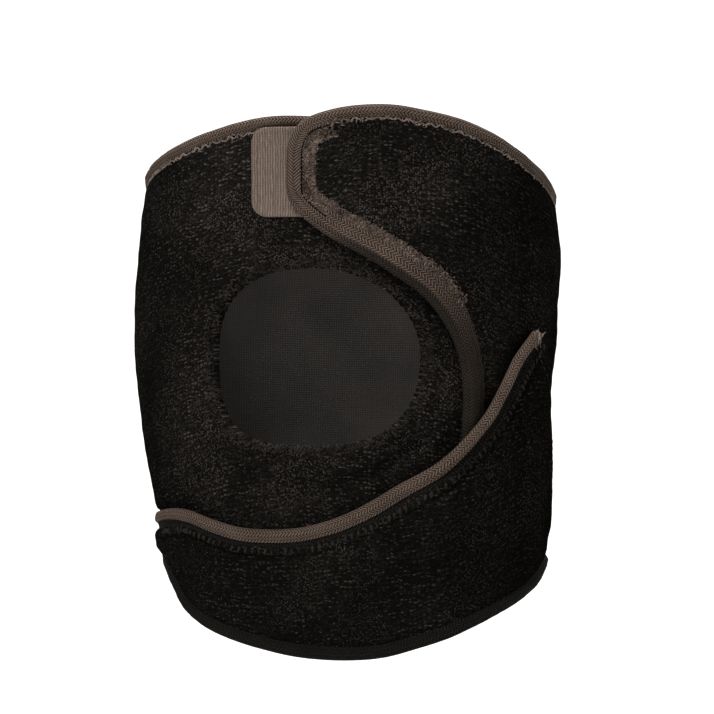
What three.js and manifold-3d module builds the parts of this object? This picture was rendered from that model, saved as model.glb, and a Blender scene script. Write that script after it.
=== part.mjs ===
import * as THREE from "three";
import Module from "manifold-3d";

// Frame: millimetres, +Z up the leg, the kneecap opening faces -Y, origin on the leg's axis
// at the opening's height. Angles are degrees round the leg, 0 at the front and growing to +X.

// Driving dimensions: the knee's width and depth under the brace, and how far the front edges
// of the brace stand above and below the origin
const KNEE_WIDTH = 127;
const KNEE_DEPTH = 122;
const TOP_REACH = 78;
const BOTTOM_REACH = 95;
const SECTION_POWER = 2.2;

// Fabric panel and folded edge tape
const PANEL_THICK = 3.2;
const EDGE_THICK = 1;
const TAPE_THICK = 0.9;
const TAPE_WIDTH = 4;
const TAPE_FOLD = 0.6;
const TAB_THICK = 0.9;
const TAPE_CLEARANCE = 0.4;
const UPPER_TAB_CORNER = 5;
const LOWER_TAB_CORNER = 2.5;
const CLEARANCE = 0.3;
const LAYER_CLEARANCE = 0.4;
const SKIN_CLEARANCE = 0.2;
const EDGE_FLAT_BEYOND_TAPE = 0.6;
const EDGE_SWELL = 2;

// Rear seam between the inner wrap and the upper wing, degrees round from the front
const SEAM_ANGLE = 128;

// Sizes that follow from those
const TAPE_HALF = EDGE_THICK / 2 + TAPE_CLEARANCE + TAPE_THICK;
const LAYER_THICK = Math.max(PANEL_THICK, 2 * TAPE_HALF);
const LAYER_PITCH = LAYER_THICK + LAYER_CLEARANCE;
const FIRST_LAYER = LAYER_THICK / 2 + SKIN_CLEARANCE;
const TAB_LIFT = FIRST_LAYER + LAYER_THICK / 2 + CLEARANCE;
const TAB_STEP = TAB_LIFT + TAB_THICK + CLEARANCE - (FIRST_LAYER + LAYER_PITCH - LAYER_THICK / 2);
const EDGE_INSET = TAPE_THICK + TAPE_CLEARANCE;
const EDGE_FLAT_END = TAPE_WIDTH + EDGE_FLAT_BEYOND_TAPE;
const UNROLL_RADIUS = (KNEE_WIDTH + KNEE_DEPTH) / 4;
const SEAM_TURN = THREE.MathUtils.radToDeg(CLEARANCE / UNROLL_RADIUS);

// In every table heights are shares of the top reach above the origin and of the bottom reach
// below it, and angles are degrees.

// Leg form under the brace, one row per height: side and centre in knee widths, front and back
// in knee depths
const LEG = [
  { height: -1.053, side: 0.425, centreX: 0.008, front: 0.434, back: 0.455 },
  { height: -0.737, side: 0.42, centreX: -0.006, front: 0.439, back: 0.467 },
  { height: -0.611, side: 0.429, centreX: -0.0095, front: 0.446, back: 0.469 },
  { height: -0.52, side: 0.4405, centreX: -0.0178, front: 0.452, back: 0.467 },
  { height: -0.442, side: 0.455, centreX: -0.028, front: 0.457, back: 0.464 },
  { height: -0.295, side: 0.471, centreX: -0.032, front: 0.473, back: 0.459 },
  { height: -0.105, side: 0.488, centreX: -0.031, front: 0.492, back: 0.451 },
  { height: 0.128, side: 0.5, centreX: -0.028, front: 0.5, back: 0.455 },
  { height: 0.385, side: 0.5, centreX: -0.02, front: 0.508, back: 0.463 },
  { height: 0.705, side: 0.484, centreX: -0.016, front: 0.512, back: 0.475 },
  { height: 1.218, side: 0.472, centreX: -0.016, front: 0.52, back: 0.484 },
];

// Lower and upper edge of the inner wrap, from its rear seam round the left to its inner end
const BODY_EDGES = [
  { angle: SEAM_ANGLE - 360 + SEAM_TURN, low: -0.642, high: 0.606 },
  { angle: -205, low: -0.632, high: 0.597 },
  { angle: -180, low: -0.636, high: 0.596 },
  { angle: -140, low: -0.65, high: 0.615 },
  { angle: -105, low: -0.668, high: 0.666 },
  { angle: -78, low: -0.68, high: 0.75 },
  { angle: -63, low: -0.709, high: 0.797 },
  { angle: -47, low: -0.826, high: 0.854 },
  { angle: -32, low: -0.895, high: 0.908 },
  { angle: -13, low: -0.942, high: 0.961 },
  { angle: 5, low: -0.958, high: 0.955 },
  { angle: 26, low: -0.942, high: 0.928 },
  { angle: 51, low: -0.858, high: 0.859 },
  { angle: 71, low: -0.758, high: 0.75 },
  { angle: 98, low: -0.684, high: 0.647 },
];

// Edges of the upper wing, one row per crosswise line, from its rounded end to the rear seam
const UPPER_WING = [
  { lowAngle: -6.1, low: 0.679, highAngle: -6.1, high: 0.769 },
  { lowAngle: -5.8, low: 0.635, highAngle: -5.9, high: 0.833 },
  { lowAngle: -4.2, low: 0.594, highAngle: -4.5, high: 0.892 },
  { lowAngle: -0.6, low: 0.541, highAngle: -1.3, high: 0.944 },
  { lowAngle: 5, low: 0.481, highAngle: 5, high: 0.979 },
  { lowAngle: 11.6, low: 0.426, highAngle: 12.5, high: 1 },
  { lowAngle: 18, low: 0.372, highAngle: 21.5, high: 1.003 },
  { lowAngle: 24.8, low: 0.306, highAngle: 31, high: 0.981 },
  { lowAngle: 31.4, low: 0.233, highAngle: 40, high: 0.953 },
  { lowAngle: 37.2, low: 0.132, highAngle: 48, high: 0.917 },
  { lowAngle: 40.9, low: 0.035, highAngle: 55.5, high: 0.876 },
  { lowAngle: 43.6, low: -0.095, highAngle: 62, high: 0.84 },
  { lowAngle: 44.6, low: -0.253, highAngle: 68, high: 0.808 },
  { lowAngle: 45.5, low: -0.526, highAngle: 74, high: 0.781 },
  { lowAngle: 49, low: -0.779, highAngle: 80, high: 0.755 },
  { lowAngle: 54, low: -0.842, highAngle: 86, high: 0.731 },
  { lowAngle: 63, low: -0.811, highAngle: 92, high: 0.708 },
  { lowAngle: 75, low: -0.758, highAngle: 98.5, high: 0.685 },
  { lowAngle: 88, low: -0.726, highAngle: 106, high: 0.662 },
  { lowAngle: 101, low: -0.698, highAngle: 113, high: 0.642 },
  { lowAngle: 114, low: -0.669, highAngle: 120, high: 0.624 },
  { lowAngle: SEAM_ANGLE, low: -0.642, highAngle: SEAM_ANGLE, high: 0.606 },
];

// Edges of the lower wing, from its rounded end at the left to the seam at the right
const LOWER_WING = [
  { lowAngle: -101, low: -0.66, highAngle: -101, high: -0.616 },
  { lowAngle: -100.2, low: -0.68, highAngle: -100.4, high: -0.594 },
  { lowAngle: -97.5, low: -0.693, highAngle: -98, high: -0.576 },
  { lowAngle: -92, low: -0.7, highAngle: -92, high: -0.563 },
  { lowAngle: -83.5, low: -0.706, highAngle: -83, high: -0.553 },
  { lowAngle: -75, low: -0.716, highAngle: -73, high: -0.543 },
  { lowAngle: -66, low: -0.738, highAngle: -63, high: -0.526 },
  { lowAngle: -57, low: -0.791, highAngle: -52, high: -0.511 },
  { lowAngle: -49, low: -0.86, highAngle: -43, high: -0.511 },
  { lowAngle: -40, low: -0.905, highAngle: -34, high: -0.537 },
  { lowAngle: -31, low: -0.937, highAngle: -24.5, high: -0.562 },
  { lowAngle: -19, low: -0.968, highAngle: -14.5, high: -0.568 },
  { lowAngle: -7, low: -0.991, highAngle: -4.5, high: -0.56 },
  { lowAngle: 6.6, low: -0.998, highAngle: 6, high: -0.531 },
  { lowAngle: 19, low: -0.988, highAngle: 16, high: -0.484 },
  { lowAngle: 31, low: -0.952, highAngle: 26, high: -0.421 },
  { lowAngle: 42, low: -0.906, highAngle: 35, high: -0.358 },
  { lowAngle: 51, low: -0.869, highAngle: 42.2, high: -0.282 },
  { lowAngle: 60, low: -0.836, highAngle: 48.5, high: -0.196 },
  { lowAngle: 69, low: -0.806, highAngle: 53, high: -0.105 },
  { lowAngle: 79, low: -0.775, highAngle: 57, high: -0.017 },
  { lowAngle: 90, low: -0.745, highAngle: 61.3, high: 0.053 },
  { lowAngle: 102, low: -0.722, highAngle: 65.5, high: 0.108 },
];

// Where each wing climbs on to the layer below it, and how far, in layers
const UPPER_RAMP = { from: 127, to: 101, base: 0, rise: 1 };
const LOWER_RAMP = { from: 23, to: 41, base: 1, rise: 1 };
const UPPER_TAB_STEP = { from: 15, to: 5 };
const LOWER_TAB_STEP = { from: -80, to: -88.5 };

// Kneecap opening: an egg with its own reach and squareness in each quarter, its angle, left
// and right in degrees, its height, up and down in millimetres
const OPENING = { angle: 1.2, left: 28.5, right: 31, height: 0.2, up: 27, down: 27.5 };
const OPENING_POWERS = { topLeft: 2.5, topRight: 1.9, lowLeft: 3.4, lowRight: 2.6 };
const OPENING_SIDES = 48;

// Fastening tabs: flat tape pieces with rounded corners
const UPPER_TAB = { left: -16.5, right: 2.5, low: 0.558, high: 0.917, corner: UPPER_TAB_CORNER };
const LOWER_TAB = { left: -111, right: -89.5, low: -0.684, high: -0.576, corner: LOWER_TAB_CORNER };

// Mesh spacing
const BODY_COLUMNS = 46;
const UPPER_COLUMNS = 30;
const LOWER_COLUMNS = 37;
const BODY_ROWS = 6;
const UPPER_ROWS = 5;
const LOWER_ROWS = 3;
const FLAT_RUN = EDGE_FLAT_END - EDGE_INSET;
const EDGE_ROWS = [0, FLAT_RUN, FLAT_RUN + EDGE_SWELL * 0.3, FLAT_RUN + EDGE_SWELL];
const END_MARGIN = 0.1;
const BINDING_STEP = 6.2;
const BINDING_TURN = 11;
const EDGE_SAMPLES = 6;
const TAB_COLUMNS = 6;
const TAB_ROWS = 4;

const radians = THREE.MathUtils.degToRad;

function tableValue(rows, key, name, at) {
  const x = THREE.MathUtils.clamp(at, rows[0][key], rows[rows.length - 1][key]);
  let i = 0;
  while (i < rows.length - 2 && rows[i + 1][key] < x) i += 1;
  const slope = (k) => {
    const a = rows[Math.max(k - 1, 0)];
    const b = rows[Math.min(k + 1, rows.length - 1)];
    return (b[name] - a[name]) / (b[key] - a[key]);
  };
  const span = rows[i + 1][key] - rows[i][key];
  const t = (x - rows[i][key]) / span;
  const t2 = t * t;
  const t3 = t2 * t;
  const start = (2 * t3 - 3 * t2 + 1) * rows[i][name] + (t3 - 2 * t2 + t) * span * slope(i);
  const end = (3 * t2 - 2 * t3) * rows[i + 1][name] + (t3 - t2) * span * slope(i + 1);
  return start + end;
}

const heightOf = (share) => share * (share > 0 ? TOP_REACH : BOTTOM_REACH);
const shareOf = (height) => height / (height > 0 ? TOP_REACH : BOTTOM_REACH);

// Point on the leg form, moved out along its normal by the lift
function place(angle, height, lift) {
  const share = shareOf(height);
  const w = KNEE_WIDTH * tableValue(LEG, "height", "side", share);
  const cx = KNEE_WIDTH * tableValue(LEG, "height", "centreX", share);
  const s = Math.sin(radians(angle));
  const c = Math.cos(radians(angle));
  const d = KNEE_DEPTH * tableValue(LEG, "height", c > 0 ? "front" : "back", share);
  const p = SECTION_POWER;
  const r = (Math.abs(s / w) ** p + Math.abs(c / d) ** p) ** (-1 / p);
  const nx = Math.sign(s) * Math.abs((r * s) / w) ** (p - 1) / w;
  const ny = -Math.sign(c) * Math.abs((r * c) / d) ** (p - 1) / d;
  const n = Math.hypot(nx, ny);
  return new THREE.Vector3(cx + r * s + (lift * nx) / n, -r * c + (lift * ny) / n, height);
}

const unroll = (angle, height) => new THREE.Vector2(radians(angle) * UNROLL_RADIUS, height);
const angleOf = (flat) => THREE.MathUtils.radToDeg(flat.x / UNROLL_RADIUS);
const placeFlat = (flat, lift) => place(angleOf(flat), flat.y, lift);

// 0 before one angle and 1 past the other, smooth between
function ramp(step, angle) {
  const t = (angle - step.from) / (step.to - step.from);
  return THREE.MathUtils.smootherstep(t, 0, 1);
}

const layerLift = (layers) => FIRST_LAYER + LAYER_PITCH * layers;
const bodyLevel = () => layerLift(0);
const upperLevel = (angle) =>
  layerLift(UPPER_RAMP.base + UPPER_RAMP.rise * ramp(UPPER_RAMP, angle)) +
  TAB_STEP * ramp(UPPER_TAB_STEP, angle);
const lowerLevel = (angle) =>
  layerLift(LOWER_RAMP.base + LOWER_RAMP.rise * ramp(LOWER_RAMP, angle)) +
  TAB_STEP * ramp(LOWER_TAB_STEP, angle);

// Crosswise line of a wing table at a fractional row number
function crossLine(rows, at) {
  const numbered = rows.map((row, index) => ({ ...row, index }));
  const value = (name) => tableValue(numbered, "index", name, at);
  return {
    low: unroll(value("lowAngle"), heightOf(value("low"))),
    high: unroll(value("highAngle"), heightOf(value("high"))),
  };
}

const middle = (line) => line.low.clone().lerp(line.high, 0.5);

function distanceToPaths(point, paths) {
  let best = Infinity;
  const segment = new THREE.Vector2();
  const offset = new THREE.Vector2();
  for (const path of paths) {
    for (let i = 0; i + 1 < path.length; i += 1) {
      segment.subVectors(path[i + 1], path[i]);
      offset.subVectors(point, path[i]);
      const t = THREE.MathUtils.clamp(offset.dot(segment) / segment.lengthSq(), 0, 1);
      best = Math.min(best, offset.addScaledVector(segment, -t).length());
    }
  }
  return best;
}

// Row number where the crosswise line's middle is a given distance inside the bound edge
function rowAtDistance(rows, paths, distance) {
  let near = 0;
  let far = rows.length / 2;
  for (let i = 0; i < 40; i += 1) {
    const half = (near + far) / 2;
    if (distanceToPaths(middle(crossLine(rows, half)), paths) < distance) near = half;
    else far = half;
  }
  return near;
}

// Point on a crosswise line at the panel's own edge, inside the folded tape
function insetPoint(from, to, paths) {
  let near = 0;
  let far = 0.5;
  for (let i = 0; i < 30; i += 1) {
    const half = (near + far) / 2;
    const outside = distanceToPaths(from.clone().lerp(to, half), paths) < EDGE_INSET - 0.002;
    if (outside) near = half;
    else far = half;
  }
  return from.clone().lerp(to, near);
}

// Half thickness at a distance from the bound edge: thin under the tape, then full
function halfThickness(distance) {
  const t = THREE.MathUtils.clamp((distance - EDGE_FLAT_END) / EDGE_SWELL, 0, 1);
  const swell = Math.sqrt(1 - (1 - t) ** 2);
  return (EDGE_THICK + (PANEL_THICK - EDGE_THICK) * swell) / 2;
}

// Closed shell over a grid of points that each have an inner and an outer lift
function shellGeometry(grid) {
  const columns = grid.length;
  const rows = grid[0].length;
  const positions = [];
  for (const side of ["outer", "inner"]) {
    for (const column of grid) {
      for (const node of column) positions.push(...placeFlat(node.flat, node[side]).toArray());
    }
  }
  const top = (i, j) => i * rows + j;
  const under = (i, j) => columns * rows + i * rows + j;
  const index = [];
  const quad = (a, b, c, d) => index.push(a, b, c, a, c, d);
  for (let i = 0; i + 1 < columns; i += 1) {
    for (let j = 0; j + 1 < rows; j += 1) {
      quad(top(i, j), top(i + 1, j), top(i + 1, j + 1), top(i, j + 1));
      quad(under(i, j), under(i, j + 1), under(i + 1, j + 1), under(i + 1, j));
    }
    quad(top(i, 0), under(i, 0), under(i + 1, 0), top(i + 1, 0));
    const last = rows - 1;
    quad(top(i, last), top(i + 1, last), under(i + 1, last), under(i, last));
  }
  for (let j = 0; j + 1 < rows; j += 1) {
    quad(top(0, j), top(0, j + 1), under(0, j + 1), under(0, j));
    const last = columns - 1;
    quad(top(last, j), under(last, j), under(last, j + 1), top(last, j + 1));
  }
  const geometry = new THREE.BufferGeometry();
  geometry.setAttribute("position", new THREE.Float32BufferAttribute(positions, 3));
  geometry.setIndex(index);
  return geometry;
}

// Padded panel between its lower and upper edges, thinned where the tape folds over it
function panelGeometry(lines, paths, level, rows) {
  const grid = lines.map((line) => {
    const low = insetPoint(line.low, line.high, paths);
    const high = insetPoint(line.high, line.low, paths);
    const length = low.distanceTo(high);
    const squeeze = Math.min(1, (0.4 * length) / EDGE_ROWS[EDGE_ROWS.length - 1]);
    const near = EDGE_ROWS.map((offset) => (offset * squeeze) / length);
    const inner = near[near.length - 1];
    const fractions = [...near];
    for (let k = 1; k <= rows; k += 1) {
      fractions.push(inner + ((1 - 2 * inner) * k) / (rows + 1));
    }
    fractions.push(...near.map((value) => 1 - value).reverse());
    return fractions.map((fraction) => {
      const flat = low.clone().lerp(high, fraction);
      const half = halfThickness(distanceToPaths(flat, paths));
      const centre = level(angleOf(flat));
      return { flat, inner: centre - half, outer: centre + half };
    });
  });
  return shellGeometry(grid);
}

// Tape folded in a U over an edge, swept along the edge's path with the panel on its left
function bindingGeometry(path, level) {
  const half = TAPE_HALF;
  const slot = EDGE_THICK / 2 + TAPE_CLEARANCE;
  const section = [
    [TAPE_WIDTH, half],
    [TAPE_FOLD, half * 0.92],
    [0, 0],
    [TAPE_FOLD, -half * 0.92],
    [TAPE_WIDTH, -half],
    [TAPE_WIDTH, -slot],
    [TAPE_THICK, -slot],
    [TAPE_THICK, slot],
    [TAPE_WIDTH, slot],
  ];
  const positions = [];
  path.forEach((point, i) => {
    const before = path[Math.max(i - 1, 0)];
    const after = path[Math.min(i + 1, path.length - 1)];
    const along = after.clone().sub(before).normalize();
    const inward = new THREE.Vector2(-along.y, along.x);
    for (const [across, lift] of section) {
      const flat = point.clone().addScaledVector(inward, across);
      positions.push(...placeFlat(flat, level(angleOf(flat)) + lift).toArray());
    }
  });
  const sides = section.length;
  const index = [];
  for (let i = 0; i + 1 < path.length; i += 1) {
    for (let k = 0; k < sides; k += 1) {
      const a = i * sides + k;
      const b = i * sides + ((k + 1) % sides);
      index.push(a, b, b + sides, a, b + sides, a + sides);
    }
  }
  const outline = section.map(([across, lift]) => new THREE.Vector2(across, lift));
  const caps = THREE.ShapeUtils.triangulateShape(outline, []);
  const last = (path.length - 1) * sides;
  for (const [a, b, c] of caps) {
    const forward = new THREE.Vector2().subVectors(outline[b], outline[a]);
    const turn = forward.cross(new THREE.Vector2().subVectors(outline[c], outline[a]));
    if (turn > 0) index.push(a, c, b, last + a, last + b, last + c);
    else index.push(a, b, c, last + a, last + c, last + b);
  }
  const geometry = new THREE.BufferGeometry();
  geometry.setAttribute("position", new THREE.Float32BufferAttribute(positions, 3));
  geometry.setIndex(index);
  return geometry;
}

// The same path with a point after each length step or each turn, whichever comes first
function evenPath(path, level) {
  const spots = path.map((flat) => placeFlat(flat, level(angleOf(flat))));
  const headingAt = (i) => spots[i + 1].clone().sub(spots[i]);
  const kept = [0];
  let heading = headingAt(0);
  for (let i = 1; i + 1 < path.length; i += 1) {
    const far = spots[i + 1].distanceTo(spots[kept[kept.length - 1]]) > BINDING_STEP;
    if (far || headingAt(i).angleTo(heading) > radians(BINDING_TURN)) {
      kept.push(i);
      heading = headingAt(i);
    }
  }
  kept.push(path.length - 1);
  return kept.map((i) => path[i]);
}

// Bound outline of a wing: along the upper edge to its end, then back along the lower edge
function wingPath(rows) {
  const samples = [];
  for (let i = 0; i <= (rows.length - 1) * EDGE_SAMPLES; i += 1) {
    samples.push(crossLine(rows, i / EDGE_SAMPLES));
  }
  const high = samples.map((line) => line.high).reverse();
  return [...high, ...samples.map((line) => line.low)];
}

function wingLines(rows, paths, count) {
  const inset = EDGE_INSET + END_MARGIN;
  const ends = EDGE_ROWS.map((offset) => rowAtDistance(rows, paths, inset + offset));
  const lines = ends.map((at) => crossLine(rows, at));
  const start = ends[ends.length - 1];
  const fine = [];
  for (let i = 0; i <= 400; i += 1) fine.push(start + ((rows.length - 1 - start) * i) / 400);
  const lengths = [0];
  for (let i = 1; i < fine.length; i += 1) {
    const step = middle(crossLine(rows, fine[i])).distanceTo(middle(crossLine(rows, fine[i - 1])));
    lengths.push(lengths[i - 1] + step);
  }
  for (let k = 1; k <= count; k += 1) {
    const target = (lengths[lengths.length - 1] * k) / count;
    let i = 1;
    while (i < fine.length - 1 && lengths[i] < target) i += 1;
    lines.push(crossLine(rows, fine[i]));
  }
  return lines;
}

function tabGeometry(tab, level) {
  const low = heightOf(tab.low);
  const high = heightOf(tab.high);
  const grid = [];
  for (let i = 0; i <= TAB_COLUMNS; i += 1) {
    const angle = THREE.MathUtils.lerp(tab.left, tab.right, i / TAB_COLUMNS);
    const run = radians(angle - tab.left) * UNROLL_RADIUS;
    const reach = Math.max(0, tab.corner - run);
    const drop = tab.corner - Math.sqrt(tab.corner ** 2 - reach ** 2);
    const column = [];
    for (let j = 0; j <= TAB_ROWS; j += 1) {
      const height = THREE.MathUtils.lerp(low + drop, high - drop, j / TAB_ROWS);
      column.push({ flat: unroll(angle, height), inner: level, outer: level + TAB_THICK });
    }
    grid.push(column);
  }
  return shellGeometry(grid);
}

// Egg-shaped plug through the wrap
function openingGeometry() {
  const positions = [];
  const centre = unroll(OPENING.angle, OPENING.height);
  const lifts = [-LAYER_THICK, LAYER_THICK * 2];
  for (const lift of lifts) {
    positions.push(...placeFlat(centre, lift).toArray());
    for (let i = 0; i < OPENING_SIDES; i += 1) {
      const turn = (2 * Math.PI * i) / OPENING_SIDES;
      const c = Math.cos(turn);
      const s = Math.sin(turn);
      const topPower = c < 0 ? OPENING_POWERS.topLeft : OPENING_POWERS.topRight;
      const lowPower = c < 0 ? OPENING_POWERS.lowLeft : OPENING_POWERS.lowRight;
      const power = s > 0 ? topPower : lowPower;
      const width = c < 0 ? OPENING.left : OPENING.right;
      const tall = s > 0 ? OPENING.up : OPENING.down;
      const reach = (Math.abs(c) ** power + Math.abs(s) ** power) ** (-1 / power);
      const flat = unroll(OPENING.angle + width * reach * c, OPENING.height + tall * reach * s);
      positions.push(...placeFlat(flat, lift).toArray());
    }
  }
  const ring = OPENING_SIDES + 1;
  const index = [];
  for (let i = 1; i <= OPENING_SIDES; i += 1) {
    const next = (i % OPENING_SIDES) + 1;
    index.push(0, next, i, ring, ring + i, ring + next);
    index.push(i, next, ring + next, i, ring + next, ring + i);
  }
  const geometry = new THREE.BufferGeometry();
  geometry.setAttribute("position", new THREE.Float32BufferAttribute(positions, 3));
  geometry.setIndex(index);
  return geometry;
}

const wasm = await Module();
wasm.setup();

const solidOf = (geometry) =>
  new wasm.Manifold(
    new wasm.Mesh({
      numProp: 3,
      vertProperties: new Float32Array(geometry.attributes.position.array),
      triVerts: new Uint32Array(geometry.index.array),
    }),
  );

function geometryOf(solid) {
  const mesh = solid.getMesh();
  const geometry = new THREE.BufferGeometry();
  const positions = new Float32Array(mesh.vertProperties);
  geometry.setAttribute("position", new THREE.BufferAttribute(positions, 3));
  geometry.setIndex(Array.from(mesh.triVerts));
  return geometry;
}

function bodyLines() {
  const first = BODY_EDGES[0].angle;
  const last = BODY_EDGES[BODY_EDGES.length - 1].angle;
  const lines = [];
  for (let i = 0; i <= BODY_COLUMNS; i += 1) {
    const angle = THREE.MathUtils.lerp(first, last, i / BODY_COLUMNS);
    const edge = (name) => unroll(angle, heightOf(tableValue(BODY_EDGES, "angle", name, angle)));
    lines.push({ low: edge("low"), high: edge("high") });
  }
  return lines;
}

const bodyColumns = bodyLines();
const bodyLow = bodyColumns.map((line) => line.low);
const bodyHigh = bodyColumns.map((line) => line.high);

function bodyGeometry() {
  const panel = panelGeometry(bodyColumns, [bodyLow, bodyHigh], bodyLevel, BODY_ROWS);
  return geometryOf(solidOf(panel).subtract(solidOf(openingGeometry())));
}

const upperPath = wingPath(UPPER_WING);
const lowerPath = wingPath(LOWER_WING);
const upperLines = wingLines(UPPER_WING, [upperPath], UPPER_COLUMNS);
const lowerLines = wingLines(LOWER_WING, [lowerPath], LOWER_COLUMNS);

const FABRIC = { color: 0x1d1916, roughness: 0.97, metalness: 0 };
const GREY_TAPE = { color: 0x5b4c45, roughness: 0.9, metalness: 0 };
const DARK_TAPE = { color: 0x1a1917, roughness: 0.9, metalness: 0 };
const HOOK_TAPE = { color: 0x695a52, roughness: 0.85, metalness: 0 };

const group = new THREE.Group();
group.name = "knee_brace";

function add(name, geometry, look) {
  geometry.computeVertexNormals();
  const mesh = new THREE.Mesh(geometry, new THREE.MeshStandardMaterial(look));
  mesh.name = name;
  group.add(mesh);
}

const topPath = evenPath(bodyHigh.slice().reverse(), bodyLevel);
const bottomPath = evenPath(bodyLow, bodyLevel);
const upperEdge = evenPath(upperPath, upperLevel);
const lowerEdge = evenPath(lowerPath, lowerLevel);

add("body_panel", bodyGeometry(), FABRIC);
add("body_top_binding", bindingGeometry(topPath, bodyLevel), GREY_TAPE);
add("body_bottom_binding", bindingGeometry(bottomPath, bodyLevel), DARK_TAPE);
add("upper_wing", panelGeometry(upperLines, [upperPath], upperLevel, UPPER_ROWS), FABRIC);
add("upper_wing_binding", bindingGeometry(upperEdge, upperLevel), GREY_TAPE);
add("upper_hook_tab", tabGeometry(UPPER_TAB, TAB_LIFT), HOOK_TAPE);
add("lower_wing", panelGeometry(lowerLines, [lowerPath], lowerLevel, LOWER_ROWS), FABRIC);
add("lower_wing_binding", bindingGeometry(lowerEdge, lowerLevel), GREY_TAPE);
add("lower_hook_tab", tabGeometry(LOWER_TAB, TAB_LIFT), HOOK_TAPE);

export default group;
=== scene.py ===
import math

import bpy
import numpy as np
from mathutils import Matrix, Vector


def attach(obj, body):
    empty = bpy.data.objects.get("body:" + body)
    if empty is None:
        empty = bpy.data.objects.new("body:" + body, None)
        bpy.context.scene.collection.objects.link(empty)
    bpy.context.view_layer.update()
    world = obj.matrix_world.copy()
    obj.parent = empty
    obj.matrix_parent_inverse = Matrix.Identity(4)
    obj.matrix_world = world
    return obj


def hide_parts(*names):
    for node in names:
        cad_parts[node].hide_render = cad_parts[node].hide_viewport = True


# Knee brace. Lengths below are millimetres unless a name ends in _M, and turn to metres where
# points are placed. Angles are degrees round the leg, 0 at the front and growing to +X. A "flat"
# point is (run round the unrolled leg, height).

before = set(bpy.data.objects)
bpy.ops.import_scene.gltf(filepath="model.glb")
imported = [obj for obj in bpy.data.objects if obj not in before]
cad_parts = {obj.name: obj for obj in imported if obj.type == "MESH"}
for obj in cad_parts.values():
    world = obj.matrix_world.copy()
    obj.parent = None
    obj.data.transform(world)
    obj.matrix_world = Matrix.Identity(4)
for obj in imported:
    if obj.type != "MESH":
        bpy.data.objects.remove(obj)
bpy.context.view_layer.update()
rng = np.random.default_rng(7)

MM = 0.001

# Driving dimensions, the same as the frame's
KNEE_WIDTH = 127
KNEE_DEPTH = 122
TOP_REACH = 78
BOTTOM_REACH = 95
SECTION_POWER = 2.2
LAYER_PITCH = 4
FIRST_LAYER = 2
SEAM_ANGLE = 128
SEAM_GAP = 0.3
TAB_STEP = 1.1
UNROLL_RADIUS = (KNEE_WIDTH + KNEE_DEPTH) / 4

# Leg form under the brace: height in shares of the reaches, side and centre in knee widths,
# front and back in knee depths
LEG_COLUMNS = ("height", "side", "centre", "front", "back")
LEG = [
    (-1.053, 0.425, 0.008, 0.434, 0.455),
    (-0.737, 0.42, -0.006, 0.439, 0.467),
    (-0.611, 0.429, -0.0095, 0.446, 0.469),
    (-0.52, 0.4405, -0.0178, 0.452, 0.467),
    (-0.442, 0.455, -0.028, 0.457, 0.464),
    (-0.295, 0.471, -0.032, 0.473, 0.459),
    (-0.105, 0.488, -0.031, 0.492, 0.451),
    (0.128, 0.5, -0.028, 0.5, 0.455),
    (0.385, 0.5, -0.02, 0.508, 0.463),
    (0.705, 0.484, -0.016, 0.512, 0.475),
    (1.218, 0.472, -0.016, 0.52, 0.484),
]

# Lower and upper edge of the inner wrap, heights in shares of the reaches
BODY_COLUMNS = ("angle", "low", "high")
BODY_EDGES = [
    (SEAM_ANGLE - 360 + math.degrees(SEAM_GAP / UNROLL_RADIUS), -0.642, 0.606),
    (-205, -0.632, 0.597),
    (-180, -0.636, 0.596),
    (-140, -0.65, 0.615),
    (-105, -0.668, 0.666),
    (-78, -0.68, 0.75),
    (-63, -0.709, 0.797),
    (-47, -0.826, 0.854),
    (-32, -0.895, 0.908),
    (-13, -0.942, 0.961),
    (5, -0.958, 0.955),
    (26, -0.942, 0.928),
    (51, -0.858, 0.859),
    (71, -0.758, 0.75),
    (98, -0.684, 0.647),
]

# Edges of the wings, one row per crosswise line, from the rounded end to the seam
WING_COLUMNS = ("low_angle", "low", "high_angle", "high")
UPPER_WING = [
    (-6.1, 0.679, -6.1, 0.769),
    (-5.8, 0.635, -5.9, 0.833),
    (-4.2, 0.594, -4.5, 0.892),
    (-0.6, 0.541, -1.3, 0.944),
    (5, 0.481, 5, 0.979),
    (11.6, 0.426, 12.5, 1),
    (18, 0.372, 21.5, 1.003),
    (24.8, 0.306, 31, 0.981),
    (31.4, 0.233, 40, 0.953),
    (37.2, 0.132, 48, 0.917),
    (40.9, 0.035, 55.5, 0.876),
    (43.6, -0.095, 62, 0.84),
    (44.6, -0.253, 68, 0.808),
    (45.5, -0.526, 74, 0.781),
    (49, -0.779, 80, 0.755),
    (54, -0.842, 86, 0.731),
    (63, -0.811, 92, 0.708),
    (75, -0.758, 98.5, 0.685),
    (88, -0.726, 106, 0.662),
    (101, -0.698, 113, 0.642),
    (114, -0.669, 120, 0.624),
    (SEAM_ANGLE, -0.642, SEAM_ANGLE, 0.606),
]
LOWER_WING = [
    (-101, -0.66, -101, -0.616),
    (-100.2, -0.68, -100.4, -0.594),
    (-97.5, -0.693, -98, -0.576),
    (-92, -0.7, -92, -0.563),
    (-83.5, -0.706, -83, -0.553),
    (-75, -0.716, -73, -0.543),
    (-66, -0.738, -63, -0.526),
    (-57, -0.791, -52, -0.511),
    (-49, -0.86, -43, -0.511),
    (-40, -0.905, -34, -0.537),
    (-31, -0.937, -24.5, -0.562),
    (-19, -0.968, -14.5, -0.568),
    (-7, -0.991, -4.5, -0.56),
    (6.6, -0.998, 6, -0.531),
    (19, -0.988, 16, -0.484),
    (31, -0.952, 26, -0.421),
    (42, -0.906, 35, -0.358),
    (51, -0.869, 42.2, -0.282),
    (60, -0.836, 48.5, -0.196),
    (69, -0.806, 53, -0.105),
    (79, -0.775, 57, -0.017),
    (90, -0.745, 61.3, 0.053),
    (102, -0.722, 65.5, 0.108),
]
UPPER_RAMP = (127, 101)
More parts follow.
